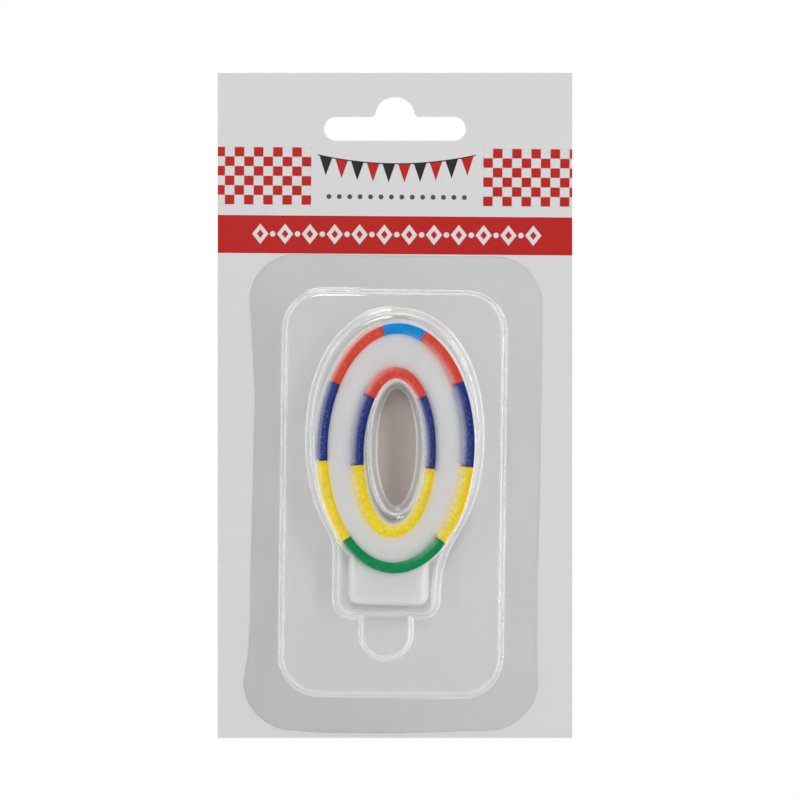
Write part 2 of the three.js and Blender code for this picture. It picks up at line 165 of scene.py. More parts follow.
class Paint:
    """A node tree, and the one method that adds any node to it."""

    def __init__(self, tree):
        self.tree = tree
        tree.nodes.clear()

    def feed(self, socket, value):
        if isinstance(value, Value):
            value = value.socket
        if isinstance(value, bpy.types.NodeSocket):
            self.tree.links.new(value, socket)
        else:
            socket.default_value = value

    def node(self, kind, inputs=None, **settings):
        """Adds a node: its settings first, then its sockets."""
        node = self.tree.nodes.new(kind)
        for name, value in settings.items():
            setattr(node, name, value)
        for name, value in (inputs or {}).items():
            self.feed(node.inputs[name], value)
        return node

    def number(self, value):
        node = self.node("ShaderNodeValue")
        node.outputs[0].default_value = value
        return Value(self, node.outputs[0])

    def out(self, node, name=0):
        return Value(self, node.outputs[name])

    def colour(self, base, layer, mask):
        """The base colour with a layer over it where the mask is 1."""
        mix = self.node("ShaderNodeMix", data_type="RGBA", clamp_factor=True)
        for index, value in ((0, mask), (6, base), (7, layer)):
            self.feed(mix.inputs[index], value)
        return mix.outputs[2]

    def shade(self, colour, amount):
        """The colour made lighter or darker by a factor."""
        scale = self.node("ShaderNodeVectorMath", operation="SCALE")
        self.feed(scale.inputs[0], colour[:3] if isinstance(colour, tuple) else colour)
        self.feed(scale.inputs[3], amount)
        return scale.outputs[0]

    def place(self, middle=(0, 0, 0), turn=0.0):
        """Object coordinates in millimetres about a point given in metres, as x, z and depth."""
        spot = self.node("ShaderNodeTexCoord").outputs["Object"]
        spot = self.node(
            "ShaderNodeMapping",
            {"Vector": spot, "Location": middle, "Rotation": (0, turn, 0), "Scale": (MM, MM, MM)},
            vector_type="TEXTURE",
        ).outputs[0]
        parts = self.node("ShaderNodeSeparateXYZ", {0: spot})
        return spot, self.out(parts, "X"), self.out(parts, "Z"), -self.out(parts, "Y")

    def noise(self, spot, size, detail=2.0, roughness=0.5):
        """Soft random variation about 0, from -0.5 to 0.5, with features of a size in mm."""
        wanted = {"Vector": spot, "Scale": 1 / size, "Detail": detail, "Roughness": roughness}
        return self.out(self.node("ShaderNodeTexNoise", wanted), "Fac") - 0.5

    def bump(self, height, distance):
        """A normal from a height in units of a distance in metres."""
        return self.node("ShaderNodeBump", {"Height": height, "Distance": distance}).outputs[0]

    def surface(self, shader):
        end = self.node("ShaderNodeOutputMaterial")
        self.feed(end.inputs["Surface"], shader)


def new_paint(name):
    material = bpy.data.materials.new(name)
    material.use_nodes = True
    return material, Paint(material.node_tree)


def rgb(red, green, blue):
    """A colour as a paint chart gives it, 0 to 255, as the linear values that shaders use."""
    steps = [c / 255 for c in (red, green, blue)]
    return (*[c / 12.92 if c <= 0.04045 else ((c + 0.055) / 1.055) ** 2.4 for c in steps], 1.0)


# %% [markdown]
# ## Outlines and walls
# A formed film is all one rule: an outline, and a wall that stands on it with a hollow foot, a
# slight lean so that the part leaves its mould, and a rounded edge. So an outline is a list of
# points with their outward directions, a wall section is a short curve of (outwards, height), and
# carrying the section round the outline gives the rings of a wall. The same idea makes the wax.


# %% Outline helpers
def arc(cx, cy, rx, ry, start, end, steps):
    """Part of an oval, with angles in radians, as points and outward directions."""
    t = np.linspace(start, end, steps + 1)
    at = np.stack((cx + rx * np.cos(t), cy + ry * np.sin(t)), 1)
    along = np.stack((-rx * np.sin(t), ry * np.cos(t)), 1) * np.sign(end - start)
    along /= np.linalg.norm(along, axis=1)[:, None]
    return at, np.stack((along[:, 1], -along[:, 0]), 1)


def joined(*arcs):
    """Arcs joined end to end, without doubled points. Straight runs join by themselves."""
    at = np.concatenate([a for a, _ in arcs])
    out = np.concatenate([o for _, o in arcs])
    far = np.linalg.norm(at - np.roll(at, 1, axis=0), axis=1) > 1e-5
    return at[far], out[far]


def rounded_box(left, right, foot, top, corner, steps=16):
    q = math.pi / 2
    return joined(
        arc(right - corner, foot + corner, corner, corner, -q, 0, steps),
        arc(right - corner, top - corner, corner, corner, 0, q, steps),
        arc(left + corner, top - corner, corner, corner, q, 2 * q, steps),
        arc(left + corner, foot + corner, corner, corner, 2 * q, 3 * q, steps),
    )


def spread(value, power):
    return np.sign(value) * np.abs(value) ** power


def full_oval(half_width, half_height, fullness, angles):
    """An oval whose sides are the fuller the more its fullness is over 2, a true oval."""
    c, s = np.cos(angles), np.sin(angles)
    point, facing = 2 / fullness, 2 - 2 / fullness
    at = np.stack((half_width * spread(c, point), half_height * spread(s, point)), -1)
    out = np.stack((spread(c, facing) / half_width, spread(s, facing) / half_height), -1)
    return at, out / np.linalg.norm(out, axis=-1)[..., None]


def fillet_beside(oval, wall, radius):
    """Where a hollow fillet joins the lower right of an oval to an upright wall."""
    low, high = -math.pi / 2, 0.0
    for _ in range(50):
        angle = (low + high) / 2
        at, out = full_oval(*oval, angle)
        centre = at + out * radius
        if centre[0] < wall + radius:
            low = angle
        else:
            high = angle
    return angle, centre[1], math.atan2(out[1], out[0])


def oval_on_neck(oval, neck, middle, foot, fillets, corner, fine=240):
    """An oval that stands on a narrower neck, set off to one side."""
    right, left = middle + neck / 2, middle - neck / 2
    left_fillet, right_fillet = fillets
    ra, ry, rf = fillet_beside(oval, right, right_fillet)
    la, ly, lf = fillet_beside(oval, -left, left_fillet)
    up = math.pi
    return joined(
        arc(right - corner, foot + corner, corner, corner, -up / 2, 0, 12),
        arc(right + right_fillet, ry, right_fillet, right_fillet, up, rf + up, 24),
        full_oval(*oval, np.linspace(ra, up - la, fine)),
        arc(left - left_fillet, ly, left_fillet, left_fillet, -lf, 0, 24),
        arc(left + corner, foot + corner, corner, corner, up, 1.5 * up, 12),
    )


def dense(outline, spacing):
    """The outline with straight runs divided, so that no two points lie far apart."""
    at, out = outline
    new_at, new_out = [], []
    for i in range(len(at)):
        j = (i + 1) % len(at)
        parts = max(1, int(np.linalg.norm(at[j] - at[i]) / spacing))
        for k in range(parts):
            new_at.append(at[i] + (at[j] - at[i]) * k / parts)
            new_out.append(out[i] + (out[j] - out[i]) * k / parts)
    new_out = np.array(new_out)
    return np.array(new_at), new_out / np.linalg.norm(new_out, axis=1)[:, None]


def wall_section(height, foot, draft, edge):
    """A wall's section: hollow foot, leaning wall, round edge. Returns points and directions."""
    lean = math.radians(draft)
    foot_x = foot * (1 - math.sin(lean)) / math.cos(lean)
    edge_x = -(edge + (height - edge) * math.sin(lean)) / math.cos(lean)
    return joined(
        arc(edge_x, height - edge, edge, edge, math.pi / 2, lean, 9),
        arc(foot_x, foot, foot, foot, math.pi + lean, 1.5 * math.pi, 6),
    )


def rings(outline, section, base, side=1, depth=0.0):
    """The section carried round the outline, from the sheet up. Side -1 turns it outwards."""
    (at, out), (along, facing) = outline, section
    made = []
    for (s, h), (fx, fy) in zip(along[::-1], -facing[::-1]):
        shift = side * (s - depth * fx)
        ring = at + out * shift
        made.append(np.column_stack((ring, np.full(len(ring), base + h - depth * fy))))
    return made


def flat_ring(outline, shift, height):
    at, out = outline
    return np.column_stack((at + out * shift, np.full(len(at), height)))


section_at, section_facing = wall_section(7.5, 0.6, 6, 1.8)
print("a cavity wall leans in by", round(-section_at[0, 0], 2), "mm over its height")


# %% Mesh helpers
def loft(levels, capped=True, closed=False):
    """Vertices and faces through rings of equal counts, with flat ends or joined to a torus."""
    count = len(levels[0])
    faces = []
    i = np.arange(count)
    j = (i + 1) % count
    last = len(levels) if closed else len(levels) - 1
    for k in range(last):
        low, high = k * count, (k + 1) % len(levels) * count
        faces += np.stack((low + i, low + j, high + j, high + i), 1).tolist()
    if capped:
        faces.append(i[::-1].tolist())
        faces.append(((len(levels) - 1) * count + i).tolist())
    return np.concatenate(levels), faces


def new_piece(name, points, faces, candle=False, place=True):
    """A mesh object at the origin, with its place in its mesh."""
    mesh = bpy.data.meshes.new(name)
    mesh.from_pydata(stood_up(points, candle) if place else points, [], faces)
    mesh.validate()
    thing = bpy.data.objects.new(name, mesh)
    scene.collection.objects.link(thing)
    return thing


def outward(thing):
    """Turns all faces of a closed mesh outwards."""
    work = bmesh.new()
    work.from_mesh(thing.data)
    bmesh.ops.recalc_face_normals(work, faces=work.faces)
    work.to_mesh(thing.data)
    work.free()


def applied(thing):
    """The object's mesh with its modifiers made real."""
    depsgraph = bpy.context.evaluated_depsgraph_get()
    mesh = bpy.data.meshes.new_from_object(thing.evaluated_get(depsgraph))
    thing.modifiers.clear()
    thing.data = mesh
    return thing


def finish_piece(thing, slot, materials, *nodes):
    """Gives a piece its materials, its body, and the solids that it stands for. Its slot is not used."""
    thing.data.materials.clear()
    for material in materials:
        thing.data.materials.append(material)
    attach(thing, "root")
    if nodes:
        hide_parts(*nodes)
    triangles = sum(len(p.vertices) - 2 for p in thing.data.polygons)
    print(thing.name, "has", triangles, "triangles")
    return thing


# %% [markdown]
# ## The formed film
# One sheet of clear plastic, 0.3 mm thick: a flat rim that is sealed to the card, a raised step,
# the candle's cavity with its neck, a pocket for the pick, and a well that dips through the hole
# of the 0. Its shape could be sculpted, or raised by a displacement map, but the white lines that
# make clear film visible are lamps mirrored in its small rounded edges, so these have to be exact.
# It is therefore made as the mould maker does: solid forms joined and cut, once for the front
# face and once, a film thinner, for the face behind it.

# %% Sizes of the film
FILM = 0.3
STEP_FACE = 4.0
FILM_FRONT = 11.5
POCKET_FACE = 7.2
OVERRUN = 1.0

STEP_BOX = (-25.5, 24.9, -58.28, 33.4)
RIM_BOX = (-33.3, 32.7, -66.08, 41.2)

CAVITY = oval_on_neck((19.9, 29.25, 2.16), 23.9, -1.45, -40.38, (12, 25), 4)
STEP = rounded_box(*STEP_BOX, 9.2)
POCKET = rounded_box(-7.45, 4.55, -49.78, -28.9, 6.0)
WELL = joined(arc(0.45, -2.05, 4.726, 13.626, 0, 2 * math.pi, 160))

STEP_WALL = wall_section(3.7, 0.6, 8, 1.2)
CAVITY_WALL = wall_section(FILM_FRONT - STEP_FACE, 0.6, 6, 1.8)
POCKET_WALL = wall_section(POCKET_FACE - STEP_FACE, 0.6, 6, 1.2)
WELL_WALL = wall_section(FILM_FRONT - FILM, 0.6, 3, 2)

# The rim was cut by hand-set tools: its edge wanders out and in by these millimetres, at these
# heights up its left side, up its right side, and at these places along its foot.
RIM_LEFT = ((-60, 0.1), (-55, 0.25), (-49, -0.75), (-41, -1.15), (-31, -1.05), (-8, -1.4),
            (10, -1.55), (18, -1.05), (31, -0.15), (38, -0.15), (41, 0.15))
RIM_RIGHT = ((-64, -0.4), (-60, 0), (-55, 0.33), (-45, 0.03), (-30, -0.05), (-12, 0.25),
             (7, 0.27), (27, 0.3), (31, 0.2), (41, 0))
RIM_FOOT = ((-29, -0.25), (-24, 0.05), (-16, 0.6), (2, 0.5), (20, -0.3), (28, -0.4))


def wander(at, out):
    """How far the rim's edge strays outwards at a point of its plain outline."""
    side = np.where(
        at[:, 0] < 0,
        np.interp(at[:, 1], *zip(*RIM_LEFT)),
        np.interp(at[:, 1], *zip(*RIM_RIGHT)),
    )
    foot = np.interp(at[:, 0], *zip(*RIM_FOOT))
    return side * np.abs(out[:, 0]) + np.where(out[:, 1] < 0, -foot * out[:, 1], 0)


def rim_outline():
    """The rim's cut edge: a rounded box with many points, moved by its wander."""
    at, out = dense(rounded_box(*RIM_BOX, 10.5, 24), 1.2)
    return at + out * wander(at, out)[:, None], out


RIM = rim_outline()
print("rim outline of", len(RIM[0]), "points")


# %% Build the film
def raised(name, outline, section, base, depth, sink):
    walls = rings(outline, section, base, 1, depth)
    foot = flat_ring(outline, section[0][-1, 0], base - depth - sink)
    return new_piece(name, *loft([foot, *walls]))


def sunken(name, outline, section, base, depth, sink):
    walls = rings(outline, section, base, -1, depth)
    above = flat_ring(outline, -section[0][0, 0], base + section[0][0, 1] + OVERRUN)
    levels = [*walls, above]
    if sink:
        levels.insert(0, flat_ring(outline, -section[0][-1, 0], base - depth - sink))
    return new_piece(name, *loft(levels))


def combined(base, *steps):
    """The base with other closed meshes joined to it or cut from it, which are then removed."""
    for operation, other in steps:
        step = base.modifiers.new(operation.title(), "BOOLEAN")
        step.operation = operation
        step.solver = "MANIFOLD"
        step.object = other
    applied(base)
    for _, other in steps:
        bpy.data.objects.remove(other)
    return base


SEAL_LIFT = 0.02
EDGE_CUT = 0.14
sheet = new_piece("blister_film", *loft([
    flat_ring(RIM, 0, SEAL_LIFT),
    flat_ring(RIM, 0, FILM - EDGE_CUT),
    flat_ring(RIM, -EDGE_CUT, FILM),
]))
front = combined(
    sheet,
    ("UNION", raised("step", STEP, STEP_WALL, FILM, 0, FILM / 2)),
    ("UNION", raised("cavity", CAVITY, CAVITY_WALL, STEP_FACE, 0, OVERRUN)),
    ("UNION", raised("pocket", POCKET, POCKET_WALL, STEP_FACE, 0, OVERRUN)),
    ("DIFFERENCE", sunken("well", WELL, WELL_WALL, FILM, 0, 0)),
)
behind = combined(
    raised("hollow", STEP, STEP_WALL, FILM, FILM, OVERRUN),
    ("UNION", raised("cavity", CAVITY, CAVITY_WALL, STEP_FACE, FILM, OVERRUN)),
    ("UNION", raised("pocket", POCKET, POCKET_WALL, STEP_FACE, FILM, OVERRUN)),
    ("DIFFERENCE", sunken("well", WELL, WELL_WALL, FILM + SEAL_LIFT, FILM, OVERRUN)),
)
film = combined(front, ("DIFFERENCE", behind))
print("film mesh:", len(film.data.vertices), "vertices,", len(film.data.polygons), "faces")

# %% [markdown]
# ## How clear film is shaded
# Glass shaders bend light twice in such a thin sheet and then need thousands of samples to light
# the card behind it. A thin sheet hardly bends anything, so it is mixed from plain parts: a
# Transparent shader, a mirror that takes over as the eye nears the sheet's edge, and some milk.
# The share of the mirror is a fifth-power rule, written with the Layer Weight node's Facing. The milk is a
# Diffuse shader. Film whitens a little where it was bent, but here the milk is laid in bands along the
# small roundings, found by depth and by how far the surface has turned, as painted highlights that stand
# for the lamps' white lines; on the walls that face down it is made fainter, as painted shade. Shadow rays
# and bounced light pass as if the sheet weren't there.
# Flat, sealed, cut, drawn, well-floor and well-wall faces each get a finish of their own: the sealed rim
# lies wet on the card and looks darker, with painted shade that darkens it more to the left and less
# towards the top. The well floor's warm dark tint is painted shade too, and the cut edge's grey is partly
# painted shade.

# %% Film materials
def bend_highlight_lines(paint, depth):
    """Painted highlights, up to 1, on the film's small roundings, which also whiten as it is bent; painted
    shade makes them less where they face down.
    """
    normal = paint.node("ShaderNodeNewGeometry").outputs["Normal"]
    parts = paint.node("ShaderNodeSeparateXYZ", {0: normal})
    facing = paint.out(parts, "Y").math("ABSOLUTE")
    # Painted shade: the milk on walls that face down is made fainter.
    painted_shade_down = 1 - (-paint.out(parts, "Z")).math("MAXIMUM", 0) * 0.8
    foot = depth.between(0.75, 1.45) + depth.between(4.45, 5.15)
    crest = depth.between(3.2, 4.4) + depth.between(6.4, 7.7) + depth.between(10.6, 12) * 0.5
    lines = foot * facing.between(0.35, 0.9, 0.1) + crest * facing.between(0.6, 0.85, 0.08)
    return lines * painted_shade_down


def clear_sheet(name, tint, roughness, share=0.035, haze=0.0, bend_highlights=0.0, wet=None):
    """Clear plastic: its tint, how blurred and strong its mirror is, and where it is milky.

    A wet tint is for film that is sealed to the card; its mask also carries painted shade, darker towards
    the left and lighter towards the top."""
    material, paint = new_paint(name)
    spot, x, z, depth = paint.place()
    ripple = paint.noise(spot, 7, 1) + paint.noise(spot, 1.6, 1) * 0.08
    normal = paint.bump(ripple, 0.00006)
    facing = paint.out(paint.node("ShaderNodeLayerWeight", {"Blend": 0.5}), "Facing")
    ray = paint.node("ShaderNodeLightPath")
    seen = 1 - paint.out(ray, "Is Shadow Ray").math("MAXIMUM", paint.out(ray, "Is Diffuse Ray"))
    mirror = (share + (1 - share) * facing**5) * seen
    gloss = paint.node(
        "ShaderNodeBsdfGlossy",
        {"Color": (1, 1, 1, 1), "Roughness": roughness, "Normal": normal},
    )
    clear = paint.node("ShaderNodeBsdfTransparent", {"Color": tint})
    if wet:
        # Painted shade: the darker wet tint is laid on more towards the left and less towards the top,
        # with random patches of the seal.
        upper = (z + 77).math("MAXIMUM", 0)
        seal_and_painted_shade = 0.6 - x * 0.009 - upper * upper * 0.0003 + paint.noise(spot, 18, 2) * 0.6
        wet_and_painted_shade = paint.node("ShaderNodeBsdfTransparent", {"Color": wet})
        clear = paint.node(
            "ShaderNodeMixShader",
            {0: seal_and_painted_shade.math("MULTIPLY", 1, clamp=True), 1: clear.outputs[0], 2: wet_and_painted_shade.outputs[0]},
        )
    mixed = paint.node("ShaderNodeMixShader", {0: mirror, 1: clear.outputs[0], 2: gloss.outputs[0]})
    if haze or bend_highlights:
        milk = paint.node("ShaderNodeBsdfDiffuse", {"Color": (0.9, 0.9, 0.9, 1)})
        patchy = 1 + paint.noise(spot, 4, 2) * 0.8
        # Milk: an even haze, plus painted highlight lines on the roundings.
        haze_and_painted_highlights = (bend_highlight_lines(paint, depth) * patchy * bend_highlights + haze) * seen
        mixed = paint.node(
            "ShaderNodeMixShader", {0: haze_and_painted_highlights, 1: mixed.outputs[0], 2: milk.outputs[0]}
        )
    paint.surface(mixed.outputs[0])
    return material


film_clear = clear_sheet("clear_film_flat", (0.988, 0.987, 0.986, 1), 0.04, bend_highlights=0.3)
film_sealed = clear_sheet(
    "clear_film_sealed", (0.985, 0.984, 0.984, 1), 0.09, wet=(0.942, 0.94, 0.94, 1)
)
# Painted shade: the cut edge's grey is partly its frosted cut, partly the dark line of refraction at the
# cut and the shadow where it meets the card.
film_edge = clear_sheet("clear_film_cut_edge", (0.7, 0.7, 0.7, 1), 0.3, 0.04, 0.35)
film_drawn = clear_sheet("clear_film_drawn", (0.992, 0.992, 0.992, 1), 0.05, 0.045, 0.05, 0.33)
# Painted shade: the well floor's warm, darker tint stands for the shadow and the warm bounced light at the
# bottom of the hole.
film_well_painted_shade = clear_sheet("clear_film_well_floor_painted_shade", (0.96, 0.925, 0.908, 1), 0.08)
film_throat = clear_sheet("clear_film_well_wall", (0.985, 0.985, 0.98, 1), 0.05, 0.04, 0.1, 0.4)

# %% Dress the film
film.data.shade_smooth()
film.data.set_sharp_from_angle(angle=math.radians(28))
FILM_KINDS = (film_clear, film_sealed, film_edge, film_drawn, film_well_painted_shade, film_throat)
finish_piece(film, "clear_film", FILM_KINDS, "blister_shell")


def dress_film(mesh):
    """The sealed rim, its cut edge, and the steep walls where the film was drawn thin."""
    left, right, foot, top = STEP_BOX
    corners = stood_up([(x, y, 0) for x in (left - 0.5, right + 0.5) for y in (foot - 0.5, top + 0.5)])
    low, high = corners[:, (0, 2)].min(0), corners[:, (0, 2)].max(0)
    level = (FILM_PLACE[2] + FILM + 0.01) * MM
    step_level = (FILM_PLACE[2] + STEP_FACE + 0.05) * MM
    well = stood_up([(0.45, -2.05, 0)])[0]
    spots = np.array([v.co for v in mesh.vertices])
    throat = np.hypot((spots[:, 0] - well[0]) / 6.6, (spots[:, 2] - well[2]) / 15.6) < MM
    counts = [0] * len(FILM_KINDS)
    for face in mesh.polygons:
        x, front, z = face.center.x, -face.center.y, face.center.z
        flat = abs(face.normal.y) > 0.99
        outside = not (low[0] < x < high[0] and low[1] < z < high[1])
        in_well = throat[list(face.vertices)].all()
        kind = 0
        if in_well:
            kind = 4 if flat and front < level else 5
        elif front < level and (outside or (flat and len(face.vertices) > 8)):
            kind = 1 if flat else 2
        elif abs(face.normal.y) < 0.9 and front > step_level:
            kind = 3
        face.material_index = kind
        counts[kind] += 1
    print("flat, sealed, cut, drawn, well-floor and well-wall faces:", counts)


dress_film(film.data)

# %% [markdown]
# ## The wax 0
# Number candles are poured in an open mould, so the front is nearly flat with soft edges, and a
# skin of wax pulls up a little where it set against the mould. The body is one closed grid: rings
# of points run up the wall of the hole, out across the front, down the outside and back under.
# Each ring has one point for each direction from the middle of the hole, so the front can be
# raised and dented smoothly. The outside widens by 0.7 mm to the back and the hole narrows, since
# a poured part has to leave its mould: that shows as a bright rim round the front.

# %% Sizes of the candle
WAX = 10.0
OVAL = (17.9, 28.45, 2.0)
HOLE = (6.45, 16.0)
HOLE_BACK = (5.65, 15.2)
HOLE_DROP = 0.95
WAX_DRAFT = 0.7
WAX_OUTLINE = oval_on_neck(OVAL, 17, -0.6, -34.9, (1.2, 1.2), 1.9)
OUTER_RING = (15.03, 25.58, 2.35, 0.0)
INNER_RING = (6.94, 16.49, 2.55, HOLE_DROP)


def oval_share(x, y, half_width, half_height):
    """1 on the oval, less inside it."""
    return np.hypot(x / half_width, y / half_height)


def front_relief(x, y):
    """Millimetres by which the poured front swells between its two coloured rings."""
    outer = oval_share(x, y, *OUTER_RING[:2])
    inner = oval_share(x, y + HOLE_DROP, INNER_RING[0] + INNER_RING[2], INNER_RING[1] + INNER_RING[2])
    inside = np.clip((1 - outer) / 0.2, 0, 1) * np.clip((inner - 1) / 0.25, 0, 1)
    swell = 0.22 * inside * (2 - inside)
    waves = 0.02 * np.sin(0.55 * x + 1.1) * np.cos(0.4 * y + 0.5)
    return swell + waves


def wax_body():
    at, out = dense(WAX_OUTLINE, 0.5)
    base = np.clip((-27 - at[:, 1]) / 3, 0, 1)
    edge = 0.9 + 0.6 * base
    quarter = np.linspace(0, math.pi / 2, 7)
    centre = np.array((0, -HOLE_DROP))
    ray = at - centre

    def level(points, height):
        return np.column_stack((points, np.broadcast_to(height, len(points))))

    def hole(share, grow=0.0):
        """The hole's outline at a share of its depth, 0 at the back and 1 at the front."""
        size = np.array(HOLE_BACK) + (np.array(HOLE) - HOLE_BACK) * share + grow
        return centre + ray / np.hypot(ray[:, 0] / size[0], ray[:, 1] / size[1])[:, None]

    def side(height, inset=0.0):
        """The outside at a height: it widens to the back, so that the wax leaves its mould."""
        return level(at + out * (WAX_DRAFT * (1 - height / WAX) - inset), height)

    levels = [level(hole(0, 0.5), 0.05)]
    levels += [level(hole(h / WAX), h) for h in np.linspace(0.55, 8.9, 7)]
    for a in quarter:
        levels.append(level(hole(1, 0.8 * (1 - math.cos(a))), WAX + 0.8 * (math.sin(a) - 1)))
    start = hole(1, 0.8)
    end = at - out * edge[:, None]
    for share in np.linspace(0, 1, 26)[1:-1]:
        points = start + (end - start) * share
        fade = min(1, share / 0.06, (1 - share) / 0.06)
        levels.append(level(points, WAX + fade * front_relief(points[:, 0], points[:, 1])))
    for a in quarter[::-1]:
        shift = edge * (math.cos(a) - 1)
        levels.append(level(at + out * shift[:, None], WAX + edge * (math.sin(a) - 1)))
    levels += [side(h) for h in np.linspace(7.5, 2, 4)]
    for a in quarter[::-1]:
        levels.append(side(0.55 - 0.5 * math.cos(a), 0.5 * (1 - math.sin(a))))
    return loft(levels, capped=False, closed=True)


wax = new_piece("wax_zero", *wax_body(), candle=True)
outward(wax)
wax.data.shade_smooth()

# %% [markdown]
# ## White wax, and the colour that bleeds into it
# Paraffin wax lets light in and spreads it, which Subsurface does. Where dyed wax was laid in it, the
# white takes a halo of the nearest colour: partly dye that crept sideways, and partly painted glow, the
# coloured light that the dyed wax throws into the white. There is a close one that softens the bead's
# edge, and a wide faint one, stronger at the left. Both fade a few millimetres behind the front. They need
# to know how far a point is from each ring and in which colour's stretch it lies, which comes from the
# oval's own formula on Object coordinates.

# %% Wax colours
WAX_WHITE = (0.77, 0.775, 0.775, 1)
WAX_SHADE = (0.71, 0.715, 0.715, 1)
DYES = {
    "azure": rgb(0, 142, 216),
    "red": rgb(222, 72, 54),
    "navy": rgb(40, 58, 136),
    "yellow": rgb(248, 221, 48),
    "green": rgb(0, 140, 84),
}
OUTER_STRIPES = (
    ("yellow_right", "yellow", -49, -8), ("navy_right", "navy", -8, 34),
    ("red_right", "red", 34, 70.5), ("blue", "azure", 70.5, 102.5),
    ("red_left", "red", 102.5, 148), ("navy_left", "navy", 148, 187),
    ("yellow_left", "yellow", 187, 230), ("green", "green", 230, 311),
)
INNER_STRIPES = (
    ("navy_right", "navy", -11, 44.5), ("red", "red", 44.5, 135.5),
    ("navy_left", "navy", 135.5, 190), ("yellow", "yellow", 190, 349),
)
CANDLE_MIDDLE = tuple(stood_up([(0, 0, -0.5)], candle=True)[0])


def ring_shares(paint, x, z, ring):
    """Distance in mm from a ring's middle line, and the angle round it in degrees, 0 to 360."""
    half_width, half_height, width, drop = ring
    half_width, half_height = half_width + width / 2, half_height + width / 2
    u, v = x / half_width, (z + drop) / half_height
    share = (u * u + v * v).math("SQRT")
    steep = ((u / half_width).math("MULTIPLY", u / half_width)
             + (v / half_height).math("MULTIPLY", v / half_height)).math("SQRT")
    distance = (share - 1) * share / steep
    angle = v.math("ARCTAN2", u) * (180 / math.pi)
    return distance, angle.math("FLOORED_MODULO", 360)


def stretch_colour(paint, angle, stripes):
    """The dye at an angle round a ring."""
    colour = DYES[stripes[0][1]]
    for _, dye, start, end in stripes:
        if start < 0:
            mask = 1 - angle.between(end, start + 360, 3)
            colour = paint.colour(colour, DYES[dye], mask)
        else:
            colour = paint.colour(colour, DYES[dye], angle.between(start, end, 3))
    return colour


def white_wax():
    material, paint = new_paint("white_wax_poured")
    spot, x, z, depth = paint.place(CANDLE_MIDDLE, -FILM_LEAN - CANDLE_LEAN)
    near_front = depth.above(WAX - 3, 3)
    cloud = paint.noise(spot, 6, 3)
    grain = paint.noise(spot, 0.5, 2)
    colour = paint.colour(WAX_SHADE, WAX_WHITE, cloud + 0.5)
    for ring, stripes in ((OUTER_RING, OUTER_STRIPES), (INNER_RING, INNER_STRIPES)):
        distance, angle = ring_shares(paint, x, z, ring)
        wobble = paint.noise(spot, 1.5, 2) * 0.4
        away = distance.math("ABSOLUTE") - ring[2] * 0.4 + wobble
        side = distance * (angle * (math.pi / 180)).math("COSINE")
        # Painted glow: the nearest dye tints the white beside each ring, close and wide, more at the left,
        # partly as dye bleed.
        close = 0.42 * (1 - away / 1.3).math("MULTIPLY", 1, clamp=True) ** 2
        left = (-side).above(0.4, 1.0)
        wide = (0.16 + 0.16 * left) * (1 - away / 3).math("MULTIPLY", 1, clamp=True) ** 2
        dye_bleed_and_painted_glow = (close + wide) * near_front
        colour = paint.colour(colour, stretch_colour(paint, angle, stripes), dye_bleed_and_painted_glow)
    shiny = paint.node("ShaderNodeBsdfPrincipled", {
        "Base Color": colour,
        "Roughness": 0.42 + cloud * 0.15,
        "Subsurface Weight": 0.85,
        "Subsurface Radius": (1.0, 0.95, 0.9),
        "Subsurface Scale": 0.0035,
        "Specular IOR Level": 0.35,
        "IOR": 1.43,
        "Normal": paint.bump(cloud + grain * 0.12, 0.00012),
    })
    paint.surface(shiny.outputs[0])
    return material


finish_piece(wax, "white_wax", (white_wax(),), "digit_body")

# %% [markdown]
# ## Coloured outlines with Geometry Nodes
# Twelve stretches of dyed wax follow two ovals. They differ only in their ends and colour, so one
# node tree makes them all: it bends a straight line into part of an oval, lets it swell on one
# side as the laid wax does, and sweeps a flat-footed bead along it.
# Three numbers are stored on the mesh: the place across the bead, the angle round the ring, and
# how far a point is from the bead's ends.


# %% The stripe tree
class Tree(Paint):
    """A geometry tree with named inputs; Paint's one method adds its nodes as well."""

    def __init__(self, name, sockets):
        group = bpy.data.node_groups.new(name, "GeometryNodeTree")
        super().__init__(group)
        self.keys = {}
        for label, kind in sockets:
            made = group.interface.new_socket(label, in_out="INPUT", socket_type=kind)
            self.keys[label] = made.identifier
        group.interface.new_socket("Geometry", in_out="OUTPUT", socket_type="NodeSocketGeometry")
        self.inputs = self.node("NodeGroupInput")

    def wanted(self, label):
        return Value(self, self.inputs.outputs[label])

    def result(self, geometry):
        solid = self.node("GeometryNodeRealizeInstances", {"Geometry": geometry})
        painted = self.node("GeometryNodeSetMaterial", {"Geometry": solid.outputs[0]})
        self.feed(painted.inputs["Material"], self.inputs.outputs["Material"])
        end = self.node("NodeGroupOutput")
        self.feed(end.inputs[0], painted.outputs[0])

    def mesh(self, name, values):
        """A plain mesh object made by the tree with these values for its inputs."""
        thing = new_piece(name, [], [], place=False)
        step = thing.modifiers.new(name, "NODES")
        step.node_group = self.tree
        for label, value in values.items():
            step[self.keys[label]] = value
        return applied(thing)


FLOAT = "NodeSocketFloat"


